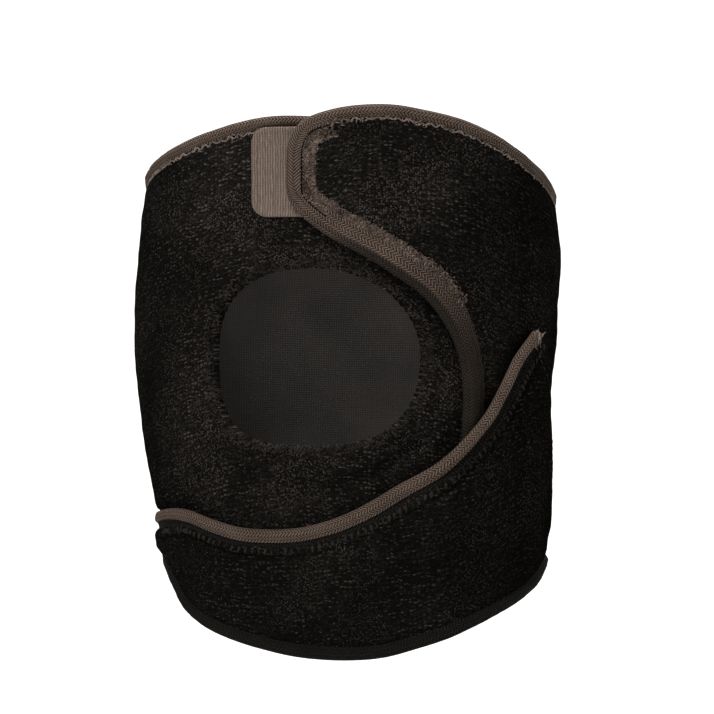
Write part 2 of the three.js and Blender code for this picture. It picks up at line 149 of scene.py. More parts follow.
LOWER_RAMP = (23, 41)
UPPER_TAB_RAMP = (15, 5)
LOWER_TAB_RAMP = (-80, -88.5)

# Kneecap opening, an egg: angles in degrees, heights in millimetres
OPENING = dict(angle=1.2, left=28.5, right=31, height=0.2, up=27, down=27.5)
OPENING_POINTS = 720
OPENING_POWERS = dict(top_left=2.5, top_right=1.9, low_left=3.4, low_right=2.6)

# Fabric and tape
PANEL_HALF = 1.6
EDGE_HALF = 0.55
PANEL_INSET = 1.2
EDGE_FLAT_END = 4.4
EDGE_SWELL = 2.6
FOLD_RADIUS = 2.0
FOLD_HALF = 1.95
FRONT_FOLD_RADIUS = 3.2
TAPE_LIE = 1.0

# The soft crease under the kneecap opening, heights in shares of the reaches, depth in shares
# of the deepest
CREASE_COLUMNS = ("angle", "height", "depth")
CREASE = [
    (-34, -0.3, 0),
    (-22, -0.375, 0.7),
    (-8, -0.42, 1),
    (7, -0.425, 1),
    (20, -0.385, 0.9),
    (31, -0.31, 0.6),
    (38, -0.24, 0),
]
CREASE_DEPTH = 1.7
CREASE_WIDTH = 2.6


def columns(names, rows):
    """A table as one array for each named column."""
    return {name: np.array(values, float) for name, values in zip(names, zip(*rows))}


def along(table, key, name, at):
    """Smooth value of one column where the key column has the given values."""
    xs, ys = table[key], table[name]
    at = np.clip(at, xs[0], xs[-1])
    slope = np.empty_like(ys)
    slope[1:-1] = (ys[2:] - ys[:-2]) / (xs[2:] - xs[:-2])
    slope[0] = (ys[1] - ys[0]) / (xs[1] - xs[0])
    slope[-1] = (ys[-1] - ys[-2]) / (xs[-1] - xs[-2])
    i = np.clip(np.searchsorted(xs, at, side="right") - 1, 0, len(xs) - 2)
    span = xs[i + 1] - xs[i]
    t = (at - xs[i]) / span
    start = (2 * t**3 - 3 * t**2 + 1) * ys[i] + (t**3 - 2 * t**2 + t) * span * slope[i]
    end = (3 * t**2 - 2 * t**3) * ys[i + 1] + (t**3 - t**2) * span * slope[i + 1]
    return start + end


def smooth(value):
    """0 below 0, 1 above 1, smooth between."""
    t = np.clip(value, 0, 1)
    return t * t * t * (t * (6 * t - 15) + 10)


def arch(value):
    """Half circle over 0 to 2, 1 high in its middle, and 0 outside."""
    return np.sqrt(np.clip(1 - (1 - value) ** 2, 0, 1))


def crowded(count, skip=0.0):
    """Shares from 0 to 1, closer together towards both ends, less so if more is skipped."""
    share = 0.5 - 0.5 * np.cos(math.pi * np.linspace(skip, 1 - skip, count))
    return (share - share[0]) / (share[-1] - share[0])


def ramp(step, angle):
    return smooth((angle - step[0]) / (step[1] - step[0]))


def height_of(share):
    return np.where(share > 0, share * TOP_REACH, share * BOTTOM_REACH)


def unroll(angle, height):
    return np.stack(np.broadcast_arrays(np.radians(angle) * UNROLL_RADIUS, height), -1)


def angle_of(flat):
    return np.degrees(flat[..., 0] / UNROLL_RADIUS)


leg = columns(LEG_COLUMNS, LEG)
body_edges = columns(BODY_COLUMNS, BODY_EDGES)
crease = columns(CREASE_COLUMNS, CREASE)


def place(flat, lift):
    """Flat points and their lifts above the leg as points in metres."""
    angle, height = angle_of(flat), flat[..., 1]
    share = np.where(height > 0, height / TOP_REACH, height / BOTTOM_REACH)
    s, c = np.sin(np.radians(angle)), np.cos(np.radians(angle))
    width = KNEE_WIDTH * along(leg, "height", "side", share)
    centre = KNEE_WIDTH * along(leg, "height", "centre", share)
    front = along(leg, "height", "front", share)
    depth = KNEE_DEPTH * np.where(c > 0, front, along(leg, "height", "back", share))
    power = SECTION_POWER
    reach = (np.abs(s / width) ** power + np.abs(c / depth) ** power) ** (-1 / power)
    nx = np.sign(s) * np.abs(reach * s / width) ** (power - 1) / width
    ny = -np.sign(c) * np.abs(reach * c / depth) ** (power - 1) / depth
    n = np.hypot(nx, ny)
    x = centre + reach * s + lift * nx / n
    y = -reach * c + lift * ny / n
    return np.stack([x, y, height + 0 * x], -1) * MM


def upper_level(flat):
    angle = angle_of(flat)
    layers = ramp(UPPER_RAMP, angle)
    return FIRST_LAYER + LAYER_PITCH * layers + TAB_STEP * ramp(UPPER_TAB_RAMP, angle)


def lower_level(flat):
    angle = angle_of(flat)
    layers = 1 + ramp(LOWER_RAMP, angle)
    return FIRST_LAYER + LAYER_PITCH * layers + TAB_STEP * ramp(LOWER_TAB_RAMP, angle)


def body_level(flat):
    return FIRST_LAYER + 0 * flat[..., 0]


def run_lengths(path):
    steps = np.linalg.norm(np.diff(path, axis=0), axis=1)
    return np.concatenate([[0], np.cumsum(steps)])


def spaced(path, step):
    """The same path with evenly spaced points."""
    lengths = run_lengths(path)
    count = max(2, int(round(lengths[-1] / step)) + 1)
    at = np.linspace(0, lengths[-1], count)
    return np.stack([np.interp(at, lengths, path[:, k]) for k in range(2)], -1)


def inward(path):
    """Unit vectors on the path's left, where the panel lies."""
    t = np.gradient(path, axis=0)
    t /= np.linalg.norm(t, axis=1, keepdims=True)
    return np.stack([-t[:, 1], t[:, 0]], -1)


def distance(points, path):
    """Distance of flat points from a polyline."""
    best = np.full(points.shape[:-1], 1e9)
    for a, b in zip(path[:-1], path[1:]):
        ab = b - a
        t = np.clip(((points - a) @ ab) / max(ab @ ab, 1e-9), 0, 1)
        off = points - a - t[..., None] * ab
        best = np.minimum(best, np.hypot(off[..., 0], off[..., 1]))
    return best


def depth_inside(points, polygon):
    """Distance of flat points from a closed outline, positive inside it."""
    inside = np.zeros(points.shape[:-1], bool)
    x, y = points[..., 0], points[..., 1]
    closed = np.vstack([polygon, polygon[:1]])
    for (x0, y0), (x1, y1) in zip(closed[:-1], closed[1:]):
        if y0 == y1:
            continue
        crosses = (y0 > y) != (y1 > y)
        inside ^= crosses & (x < (x1 - x0) * (y - y0) / (y1 - y0) + x0)
    return np.where(inside, 1, -1) * distance(points, closed)


def ripple(flat, size, seed):
    """Smooth seeded unevenness between about -1 and 1, with features of about the given size."""
    turns = np.random.default_rng(seed)
    total = np.zeros(flat.shape[:-1])
    for _ in range(7):
        heading = turns.uniform(0, 2 * math.pi)
        wave = 2 * math.pi / (size * turns.uniform(0.7, 1.6))
        ahead = flat[..., 0] * math.cos(heading) + flat[..., 1] * math.sin(heading)
        total += np.sin(wave * ahead + turns.uniform(0, 2 * math.pi))
    return total / 3.5


def wing_edges(rows, step):
    """Upper and lower edge of a wing as paired flat points, at most a step apart."""
    table = columns(WING_COLUMNS, rows)
    table["row"] = np.arange(len(rows), dtype=float)
    fine = np.linspace(0, len(rows) - 1, 60 * len(rows))

    def pairs(at):
        value = {name: along(table, "row", name, at) for name in WING_COLUMNS}
        low = unroll(value["low_angle"], height_of(value["low"]))
        high = unroll(value["high_angle"], height_of(value["high"]))
        return low, high

    low, high = pairs(fine)
    moved = np.maximum(
        np.linalg.norm(np.diff(low, axis=0), axis=1),
        np.linalg.norm(np.diff(high, axis=0), axis=1),
    )
    lengths = np.concatenate([[0], np.cumsum(moved)])
    at = np.linspace(0, lengths[-1], int(lengths[-1] / step))
    return pairs(np.interp(at, lengths, fine))


def opening_path():
    """The kneecap opening's outline."""
    turn = np.linspace(0, 2 * math.pi, OPENING_POINTS, endpoint=False)
    c, s = np.cos(turn), np.sin(turn)
    top_power = np.where(c < 0, OPENING_POWERS["top_left"], OPENING_POWERS["top_right"])
    low_power = np.where(c < 0, OPENING_POWERS["low_left"], OPENING_POWERS["low_right"])
    power = np.where(s > 0, top_power, low_power)
    width = np.radians(np.where(c < 0, OPENING["left"], OPENING["right"])) * UNROLL_RADIUS
    tall = np.where(s > 0, OPENING["up"], OPENING["down"])
    reach = (np.abs(c) ** power + np.abs(s) ** power) ** (-1 / power)
    centre = unroll(OPENING["angle"], OPENING["height"])
    return centre + np.stack([width * reach * c, tall * reach * s], -1)


upper_low, upper_high = wing_edges(UPPER_WING, 1.1)
lower_low, lower_high = wing_edges(LOWER_WING, 1.1)
upper_path = np.vstack([upper_high[::-1], upper_low])
lower_path = np.vstack([lower_high[::-1], lower_low])
body_angles = np.linspace(BODY_EDGES[0][0], BODY_EDGES[-1][0], 300)


def body_edge(name, angle):
    return unroll(angle, height_of(along(body_edges, "angle", name, angle)))


body_top = body_edge("high", body_angles)
body_bottom = body_edge("low", body_angles)


# Meshes


def mesh_object(name, points, faces):
    mesh = bpy.data.meshes.new(name)
    mesh.from_pydata(points.reshape(-1, 3).tolist(), [], [tuple(f) for f in faces])
    mesh.update()
    mesh.polygons.foreach_set("use_smooth", np.ones(len(mesh.polygons), bool))
    piece = bpy.data.objects.new(name, mesh)
    bpy.context.scene.collection.objects.link(piece)
    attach(piece, "root")
    return piece


def set_materials(piece, materials, numbers=()):
    """Materials of a piece. The numbers say which one each of its first faces has, and the
    other faces have the first."""
    for material in materials:
        piece.data.materials.append(material)
    index = np.zeros(len(piece.data.polygons), np.int32)
    index[: len(numbers)] = numbers
    piece.data.polygons.foreach_set("material_index", index)


def set_uv(piece, per_vertex):
    """UV map of millimetres on the cloth, so that weave and rows follow it."""
    mesh = piece.data
    loops = np.empty(len(mesh.loops), dtype=np.int64)
    mesh.loops.foreach_get("vertex_index", loops)
    layer = mesh.uv_layers.new(name="cloth")
    layer.data.foreach_set("uv", per_vertex[loops].astype(np.float32).ravel())


def grid_faces(columns_count, rows_count, start=0):
    i, j = np.meshgrid(np.arange(columns_count - 1), np.arange(rows_count - 1), indexing="ij")
    a = (start + i * rows_count + j).ravel()
    return np.stack([a, a + rows_count, a + rows_count + 1, a + 1], -1)


def two_sided(name, flat, faces, outer, inner, cloth, materials, outside=0):
    """Closed padded panel: the same faces at an outer and an inner lift, with a wall at each
    rim. The inner faces have the second material, and outside numbers the outer faces'."""
    count = len(flat)
    points = np.vstack([place(flat, outer), place(flat, inner)])
    under = faces[:, ::-1] + count
    edges = np.vstack([faces[:, [k, (k + 1) % 4]] for k in range(4)])
    keys = np.sort(edges, 1)
    _, first, seen = np.unique(keys, axis=0, return_index=True, return_counts=True)
    rims = edges[first[seen == 1]]
    walls = np.stack([rims[:, 1], rims[:, 0], rims[:, 0] + count, rims[:, 1] + count], -1)
    piece = mesh_object(name, points, np.vstack([faces, walls, under]))
    set_uv(piece, np.vstack([cloth, cloth]))
    shown = np.broadcast_to(outside, len(faces))
    numbers = np.concatenate([shown, np.zeros(len(walls)), np.ones(len(under))])
    set_materials(piece, materials, numbers)
    return piece


def tubes(name, paths, ups, radius, material, sides=5):
    """Thread: one tube for each path, all with the same number of points."""
    count, steps, _ = paths.shape
    ahead = np.gradient(paths, axis=1)
    ahead /= np.linalg.norm(ahead, axis=2, keepdims=True)
    side = np.cross(ahead, ups)
    side /= np.linalg.norm(side, axis=2, keepdims=True)
    up = np.cross(side, ahead)
    turn = np.linspace(0, 2 * math.pi, sides, endpoint=False)
    around = side[:, :, None] * np.cos(turn)[:, None] + up[:, :, None] * np.sin(turn)[:, None]
    thin = np.ones(steps)
    thin[[0, -1]] = 0.55
    width = np.broadcast_to(np.asarray(radius, float), (count,))[:, None] * thin
    points = paths[:, :, None] + around * width[:, :, None, None] * MM
    base = np.arange(count)[:, None, None] * steps * sides
    ring = np.arange(steps - 1)[None, :, None] * sides
    k = np.arange(sides)[None, None, :]
    a = base + ring + k
    b = base + ring + (k + 1) % sides
    quads = np.stack([a, b, b + sides, a + sides], -1).reshape(-1, 4)
    first = (base + k)[:, 0, ::-1]
    last = (base + (steps - 1) * sides + k)[:, 0]
    faces = [*quads.tolist(), *first.tolist(), *last.tolist()]
    piece = mesh_object(name, points, faces)
    set_materials(piece, [material])
    return piece


# Materials


def tint(red, green, blue):
    """Colour from 0 to 255 display values, as linear light."""
    shown = np.array([red, green, blue]) / 255
    linear = np.where(shown > 0.04, ((shown + 0.055) / 1.055) ** 2.4, shown / 12.92)
    return (*linear.tolist(), 1.0)


LOOP_ROW = 1.45
DASH_LONG = 1.35
DASH_THICK = 0.7
PILE_SPECK = 0.66
RIB_PITCH = 1.05
FABRIC_DARK = tint(6, 6, 5)
FABRIC_LIGHT = tint(82, 77, 73)
LINT = tint(96, 90, 84)
# Painted shade on the front tape: how far it darkens the tape, and the colour it darkens it to
PAINTED_SHADE_MOST = 0.86
TAPE_PAINTED_SHADE = tint(27, 26, 24)


class Shader:
    """A small helper that adds nodes to a new material."""

    def __init__(self, name, roughness, specular):
        self.material = bpy.data.materials.new(name)
        self.material.use_nodes = True
        self.tree = self.material.node_tree
        self.shader = self.tree.nodes["Principled BSDF"]
        self.shader.inputs["Roughness"].default_value = roughness
        self.shader.inputs["Specular IOR Level"].default_value = specular

    def add(self, kind, inputs=(), **settings):
        made = self.tree.nodes.new(kind)
        for key, value in settings.items():
            setattr(made, key, value)
        for key, value in dict(inputs).items():
            self.feed(made.inputs[key], value)
        return made

    def feed(self, socket, value):
        if isinstance(value, bpy.types.NodeSocket):
            self.tree.links.new(value, socket)
        else:
            socket.default_value = value

    def math(self, operation, *values):
        return self.add("ShaderNodeMath", enumerate(values), operation=operation).outputs[0]

    def plus(self, first, second):
        return self.math("ADD", first, second)

    def times(self, first, second):
        return self.math("MULTIPLY", first, second)

    def scaled(self, value, factor, shift):
        return self.math("MULTIPLY_ADD", value, factor, shift)

    def cloth(self):
        """The two cloth coordinates, in millimetres."""
        uv = self.add("ShaderNodeUVMap", uv_map="cloth")
        parts = self.add("ShaderNodeSeparateXYZ", {0: uv.outputs[0]})
        return uv.outputs[0], parts.outputs[0], parts.outputs[1]

    def noise(self, vector, per_mm, detail=3.0, roughness=0.55):
        inputs = {"Vector": vector, "Scale": per_mm, "Detail": detail, "Roughness": roughness}
        return self.add("ShaderNodeTexNoise", inputs).outputs["Fac"]

    def band(self, value, low, high):
        """0 to 1 as the value goes from low to high."""
        inputs = {"Value": value, "From Min": low, "From Max": high}
        made = self.add("ShaderNodeMapRange", inputs, interpolation_type="SMOOTHSTEP")
        return made.outputs["Result"]

    def specks(self, vector, per_mm, randomness):
        """Small round spots of uneven brightness, from 0 to 1."""
        inputs = {"Vector": vector, "Scale": per_mm, "Randomness": randomness}
        cells = self.add("ShaderNodeTexVoronoi", inputs, voronoi_dimensions="2D")
        spot = self.band(cells.outputs["Distance"], 0.62, 0.08)
        pick = self.add("ShaderNodeSeparateColor", {0: cells.outputs["Color"]}).outputs[0]
        return self.times(spot, self.math("POWER", pick, 2.6))

    def mix(self, factor, first, second, kind="RGBA"):
        made = self.add("ShaderNodeMix", data_type=kind)
        self.feed(made.inputs["Factor"], factor)
        self.feed(made.inputs["A"], first)
        self.feed(made.inputs["B"], second)
        return made.outputs["Result"]

    def finish(self, colour, height, depth_mm):
        self.feed(self.shader.inputs["Base Color"], colour)
        inputs = {"Strength": 1.0, "Distance": depth_mm * MM, "Height": height}
        bump = self.add("ShaderNodeBump", inputs)
        self.tree.links.new(bump.outputs[0], self.shader.inputs["Normal"])
        return self.material


def wave(make, value, pitch):
    """Cosine of a coordinate, from 0 to 1, once in each pitch."""
    turn = make.times(value, 2 * math.pi / pitch)
    return make.scaled(make.math("COSINE", turn), 0.5, 0.5)


def zigzag(make, value, pitch):
    """Triangle wave of a coordinate, from 0 to 1."""
    return make.math("PINGPONG", make.math("DIVIDE", value, pitch / 2), 1.0)


def loop_fabric():
    """Brushed loop knit: rows of short bright dashes that fade into random pile, with lint."""
    make = Shader("loop_fabric", 0.95, specular=0.0)
    uv, across, down = make.cloth()
    drift = make.scaled(make.noise(uv, 0.1, 2.0), 3.4, -1.7)
    jitter = make.scaled(make.noise(uv, 0.9, 2.0), 0.6, -0.3)
    level = make.plus(down, make.plus(drift, jitter))
    dash = make.math("DIVIDE", make.plus(across, jitter), DASH_LONG)
    row = make.math("DIVIDE", level, DASH_THICK)
    cells = make.add("ShaderNodeCombineXYZ", {0: dash, 1: row})
    in_row = make.scaled(wave(make, level, LOOP_ROW), 1.1, 0.1)
    ordered = make.times(make.specks(cells.outputs[0], 1.0, 0.85), in_row)
    random = make.specks(uv, 1 / PILE_SPECK, 1.0)
    order = make.band(make.noise(uv, 0.05, 2.0), 0.4, 0.56)
    grain = make.noise(uv, 2.2, 2.0, 0.7)
    speck = make.mix(order, random, ordered, "FLOAT")
    height = make.scaled(make.band(grain, 0.35, 0.75), 0.14, speck)
    patch = make.scaled(make.band(make.noise(uv, 0.03, 2.0), 0.3, 0.7), 0.9, 0.5)
    # Painted light: specks painted brighter at the front and top, darker to the sides and bottom; patch
    # is uneven tone
    spot = make.add("ShaderNodeTexCoord").outputs["Object"]
    place_m = make.add("ShaderNodeSeparateXYZ", {0: spot})
    aside = make.math("ABSOLUTE", place_m.outputs[0])
    front = make.scaled(make.band(aside, 0.063, 0.03), 0.6, 0.45)
    upper = make.scaled(make.band(place_m.outputs[2], -0.085, -0.01), 0.5, 0.5)
    tone_and_painted_light = make.times(patch, make.times(front, upper))
    specks_in_painted_light = make.times(height, tone_and_painted_light)
    base = make.mix(make.math("MINIMUM", specks_in_painted_light, 1.0), FABRIC_DARK, FABRIC_LIGHT)
    ridge = make.math("ABSOLUTE", make.math("SUBTRACT", make.noise(uv, 1.3, 1.0), 0.5))
    sparse = make.band(make.noise(uv, 0.8, 1.0), 0.62, 0.7)
    lint = make.times(make.band(ridge, 0.035, 0.0), sparse)
    colour = make.mix(make.times(lint, 0.6), base, LINT)
    return make.finish(colour, make.plus(height, lint), 0.4)


def smooth_lining():
    """The inside: fine jersey in charcoal grey."""
    make = Shader("lining", 0.9, specular=0.08)
    uv, across, down = make.cloth()
    ribs = wave(make, across, 0.9)
    courses = wave(make, make.scaled(zigzag(make, across, 0.9), 0.35, down), 0.8)
    height = make.times(ribs, courses)
    cloud = make.noise(uv, 0.05, 3.0)
    factor = make.scaled(cloud, 0.5, make.times(height, 0.5))
    colour = make.mix(factor, tint(28, 27, 26), tint(70, 67, 65))
    return make.finish(colour, height, 0.15)


def knit_tape(name, dark, light, band_width, dims=None):
    """Knitted binding: fine ribs that slant one way and the other in narrow bands. dims names the
    distance along it where painted shade falls under its fold and the two between which painted shade
    covers all of it."""
    make = Shader(name, 0.92, specular=0.03)
    uv, along_tape, over = make.cloth()
    jitter = make.scaled(make.noise(uv, 1.1, 2.0), 0.36, -0.18)
    run = make.plus(along_tape, jitter)
    sway = make.scaled(make.noise(uv, 0.2, 1.0), 0.8, over)
    slant = make.scaled(zigzag(make, sway, 2 * band_width), band_width, run)
    ribs = make.math("POWER", wave(make, slant, RIB_PITCH), 0.7)
    seam = make.math("POWER", wave(make, sway, band_width), 3.0)
    relief = make.times(ribs, make.scaled(seam, -0.45, 1.0))
    grain = make.noise(uv, 2.4, 3.0, 0.7)
    cloud = make.noise(uv, 0.09, 3.0)
    shade = make.scaled(relief, 0.8, make.scaled(cloud, 0.4, -0.15))
    factor = make.plus(shade, make.scaled(grain, 0.9, -0.45))
    colour = make.mix(make.math("MAXIMUM", make.math("MINIMUM", factor, 1.0), 0.0), dark, light)
    if dims is not None:
        # Painted shade: under the fold along one stretch, then over the whole tape further down
        fold = make.times(make.band(over, 0.1, 1.4), make.band(along_tape, dims[0], dims[1]))
        all_round = make.band(along_tape, dims[1], dims[2])
        painted_shade = make.times(make.math("MAXIMUM", fold, all_round), PAINTED_SHADE_MOST)
        colour = make.mix(painted_shade, colour, TAPE_PAINTED_SHADE)
    return make.finish(colour, relief, 0.45)


def ribbed_hook_tape():
    """Fastening tab: fine uneven ribs up and down, between rows of small hooks."""
    make = Shader("hook_tape", 0.9, specular=0.04)
    uv, across, down = make.cloth()
    streaks = make.add("ShaderNodeCombineXYZ", {0: across, 1: make.times(down, 0.22)})
    jitter = make.scaled(make.noise(streaks.outputs[0], 1.1, 2.0), 0.7, -0.35)
    ribs = wave(make, make.plus(across, jitter), 0.78)
    beads = wave(make, make.scaled(jitter, 2.0, down), 0.8)
    height = make.scaled(make.times(ribs, beads), 0.6, ribs)
    grain = make.noise(uv, 2.2, 3.0, 0.7)
    streak = make.noise(streaks.outputs[0], 2.0, 2.0, 0.7)
    mixed = make.scaled(grain, 0.6, make.times(streak, 0.5))
    factor = make.scaled(height, 0.32, make.math("SUBTRACT", mixed, 0.2))
    colour = make.mix(make.math("MINIMUM", factor, 1.0), tint(20, 14, 11), tint(148, 132, 121))
    return make.finish(colour, height, 0.25)


def thread(name, dark, light):
    make = Shader(name, 0.9, specular=0.04)
    spot = make.add("ShaderNodeTexCoord").outputs["Object"]
    grain = make.add("ShaderNodeTexNoise", {"Vector": spot, "Scale": 2600.0, "Detail": 2.0})
    cloud = make.add("ShaderNodeTexNoise", {"Vector": spot, "Scale": 260.0, "Detail": 2.0})
    factor = make.scaled(grain.outputs["Fac"], 0.6, cloud.outputs["Fac"])
    colour = make.mix(make.band(factor, 0.45, 1.15), dark, light)
    return make.finish(colour, grain.outputs["Fac"], 0.06)


fabric = loop_fabric()
lining = smooth_lining()
TAPE_TINTS = (tint(22, 16, 12), tint(122, 106, 96))
grey_tape = knit_tape("edge_tape", *TAPE_TINTS, 1.15)
end_tape = knit_tape("end_tape", tint(22, 16, 13), tint(118, 103, 94), 2.2)
# Near-black tape: the lower wing's black strip, and the grey binding painted in shade on the bottom
# edges, which face down
dark_tape = knit_tape("dark_tape", tint(10, 10, 9), tint(38, 36, 33), 1.15)
hook_tape = ribbed_hook_tape()
pale_thread = thread("pale_thread", tint(84, 74, 68), tint(138, 125, 117))
brown_thread = thread("brown_thread", tint(34, 26, 22), tint(112, 98, 90))
dark_thread = thread("dark_thread", tint(8, 7, 6), tint(54, 50, 47))
overlock_thread = thread("overlock_thread", tint(12, 11, 10), tint(48, 45, 41))
black_thread = thread("black_thread", tint(4, 4, 4), tint(14, 13, 12))


# Camera, at the photograph's angle

CAMERA_AZIMUTH = 9
CAMERA_AWAY_M = 1.1
VIEW_WIDTH_M = 0.2356
SENSOR = 36
ORIGIN_LEFT_OF_MIDDLE = 6 / 714


def make_camera():
    data = bpy.data.cameras.new("camera")
    data.sensor_width = SENSOR
    data.lens = SENSOR * CAMERA_AWAY_M / VIEW_WIDTH_M
    data.shift_x = ORIGIN_LEFT_OF_MIDDLE
    data.clip_start, data.clip_end = 0.05, 20
    camera = bpy.data.objects.new("camera", data)
    turn = math.radians(CAMERA_AZIMUTH)
    back = Vector((math.sin(turn), -math.cos(turn), 0))
    camera.location = back * CAMERA_AWAY_M
    camera.rotation_euler = (math.pi / 2, 0, turn)
    bpy.context.scene.collection.objects.link(camera)
    bpy.context.scene.camera = camera


make_camera()


# Panels


TOP_TAPE_WIDTH = 3.9
END_TAPE_WIDTH = 8.5
FRONT_TAPE_WIDTH = 9.5
LOWER_TAPE_WIDTH = 4.3
ROOT_REACH = 3.2
ROOT_DROP = 0.2
ROOT_THIN = 0.8

upper_edge = spaced(upper_path, 0.8)
lower_edge = spaced(lower_path, 0.8)
top_edge = spaced(body_top[::-1], 0.8)
bottom_edge = spaced(body_bottom, 0.8)
root_seam = spaced(np.stack([lower_high[-1], lower_low[-1]]), 1)
rear_seam = spaced(np.stack([upper_high[-1], upper_low[-1]]), 1)


def front_share(path):
    """1 round the upper wing's end and down its front edge, 0 on its other edges."""
    angle, height = angle_of(path), path[:, 1]
    lower_side = np.arange(len(path)) > np.argmin(angle)
    down_front = smooth((height + 66) / 14)
    return np.where(lower_side, down_front, smooth((7 - angle) / 8))


front_edge = upper_edge[front_share(upper_edge) > 0.5]


def half_thickness(edge_distance):
    swell = np.clip((edge_distance - EDGE_FLAT_END) / EDGE_SWELL, 0, 1)
    return EDGE_HALF + (PANEL_HALF - EDGE_HALF) * arch(swell)


hole = opening_path()
hole_closed = np.vstack([hole, hole[:1]])
hole_runs = run_lengths(hole_closed)
hole_centre = hole.mean(axis=0)


def seam_squash(away):
    """Share of the thickness left at a distance from the rear seam."""
    return 0.45 + 0.55 * smooth(away / 3.5)


def shown_by(points, *polygons):
    """1 where no other panel covers the points, falling to 0 a little before its edge."""
    share = np.ones(points.shape[:-1])
    for polygon in polygons:
        share = np.minimum(share, smooth((-depth_inside(points, polygon) - 0.5) / 5))
    return share


def crease_lift(flat):
    """Soft fold under the kneecap opening: a groove with a rounded ridge above and below."""
    angle = angle_of(flat)
    middle = height_of(along(crease, "angle", "height", angle))
    strength = CREASE_DEPTH * along(crease, "angle", "depth", angle)
    strength = np.where((angle < CREASE[0][0]) | (angle > CREASE[-1][0]), 0, strength)
    off = (flat[:, 1] - middle) / CREASE_WIDTH
    return strength * (0.5 * np.exp(-((off - 1.7) / 1.1) ** 2) - np.exp(-(off**2)))


WHIP_PITCH = 2.7
RIM_OUT = 0.75
SCALLOP = 0.5
BODY_ROWS = 118
RING_ANGLES = (-41, 47)
RING_HEIGHTS = (-40, 42)
RING_STEPS = 24
hole_stitches = int(round(hole_runs[-1] / WHIP_PITCH))


def body_rims(flat):
    """Distances of flat points from the wrap's edges and from the kneecap opening."""
    edge = np.minimum(distance(flat, body_top[::3]), distance(flat, body_bottom[::3]))
    return edge, np.maximum(-depth_inside(flat, hole[::3]), 0)


def body_outer(flat):
    """Outer lift of the inner wrap at flat points."""
    edge, rim = body_rims(flat)
    nearest = ring_phase(flat)
    free = shown_by(flat, upper_path[::3], lower_path[::3])
    free = free * smooth((edge - 4) / 8)
    lift = FIRST_LAYER + half_thickness(edge) * seam_squash(flat[:, 0] - body_top[0, 0])
    above = -depth_inside(flat, lower_path[::3])
    angle = angle_of(flat)
    pile = smooth((-66 - angle) / 14) * smooth((angle + 100) / 8)
    pile = pile * smooth((above - 0.3) / 2.2) * smooth((11 - above) / 9)
    lift += 1.8 * pile + free * (0.35 + 0.3 * ripple(flat, 24, 3) + 0.12 * ripple(flat, 7, 4))
    lift += free * crease_lift(flat)
    ring = np.exp(-((rim - 3.4) / 2.0) ** 2)
    lift += free * ring * (0.65 + 0.2 * nearest)
    tuck = arch(rim / 2.2)
    low = FIRST_LAYER - 0.6
    lift = np.where(rim < 2.2, low + (lift - low) * tuck, lift)
    lift -= free * 0.3 * np.exp(-((rim - 1.6) / 1.2) ** 2) * (1 - nearest)
    return lift


def hole_run(flat):
    """Distance along the opening's outline at which it faces each flat point."""
    turn = np.arctan2(*(flat - hole_centre).T[::-1])
    hole_turn = np.unwrap(np.arctan2(*(hole_closed - hole_centre).T[::-1]))
    wrapped = np.mod(turn - hole_turn[0], 2 * math.pi) + hole_turn[0]
    return np.interp(wrapped, hole_turn, hole_runs)


def hole_point(run):
    """Points at distances along the opening's outline, with the way out from its centre."""
    coordinates = [np.interp(run, hole_runs, hole_closed[:, k], period=hole_runs[-1]) for k in range(2)]
    points = np.stack(coordinates, -1)
    away = points - hole_centre
    return points, away / np.linalg.norm(away, axis=1, keepdims=True)


def ring_phase(flat):
    """Height of the whip stitches' scallops round the opening, from 0 to 1."""
    return 0.5 - 0.5 * np.cos(2 * math.pi * hole_run(flat) / hole_runs[-1] * hole_stitches)


def ladder(low, high, share):
    """Flat points between paired edges, at each share of the way up."""
    return low[:, None] + (high - low)[:, None] * share[None, :, None]


def body_layout():
    """Grid of the inner wrap with a ring of cells round the kneecap opening."""
    rows = BODY_ROWS
    inset = np.array([0, PANEL_INSET])
    flat = ladder(body_bottom + inset, body_top - inset, crowded(rows, 0.12))
    i0, i1 = np.searchsorted(body_angles, RING_ANGLES)
    middle = (i0 + i1) // 2
    j0, j1 = np.searchsorted(flat[middle, :, 1], RING_HEIGHTS)
    cells = grid_faces(len(body_angles), rows)
    column, row = np.divmod(cells[:, 0], rows)
    inside = (column >= i0) & (column < i1) & (row >= j0) & (row < j1)
    cells = cells[~inside]
    frame_loop = [(i, j0) for i in range(i0, i1)]
    frame_loop += [(i1, j) for j in range(j0, j1)]
    frame_loop += [(i, j1) for i in range(i1, i0, -1)]
    frame_loop += [(i0, j) for j in range(j1, j0, -1)]
    loop = np.array([i * rows + j for i, j in frame_loop])
    outer = flat.reshape(-1, 2)[loop]
    inner, out = hole_point(hole_run(outer))
    inner += out * (RIM_OUT - SCALLOP * ring_phase(inner)[:, None])
    steps = RING_STEPS
    ring = ladder(inner, outer, (np.arange(steps) / steps) ** 1.35)
    index = len(body_angles) * rows + np.arange(len(loop) * steps).reshape(-1, steps)
    index = np.concatenate([index, loop[:, None]], axis=1)
    following = np.roll(index, -1, axis=0)
    ring_cells = np.stack([index[:, :-1], index[:, 1:], following[:, 1:], following[:, :-1]], -1)
    points = np.vstack([flat.reshape(-1, 2), ring.reshape(-1, 2)])
    faces = np.vstack([cells, ring_cells.reshape(-1, 4)])
    used = np.zeros(len(points), bool)
    used[faces.ravel()] = True
    renumber = np.cumsum(used) - 1
    return points[used], renumber[faces]


def rows_below(flat, edge, follow=1.0):
    """Cloth coordinates whose rows follow an edge above them, fully or in part."""
    order = np.argsort(edge[:, 0])
    top = np.interp(flat[:, 0], edge[order, 0], edge[order, 1])
    return np.stack([flat[:, 0], follow * top - flat[:, 1]], -1)


def dress_panel(node):
    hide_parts(node)


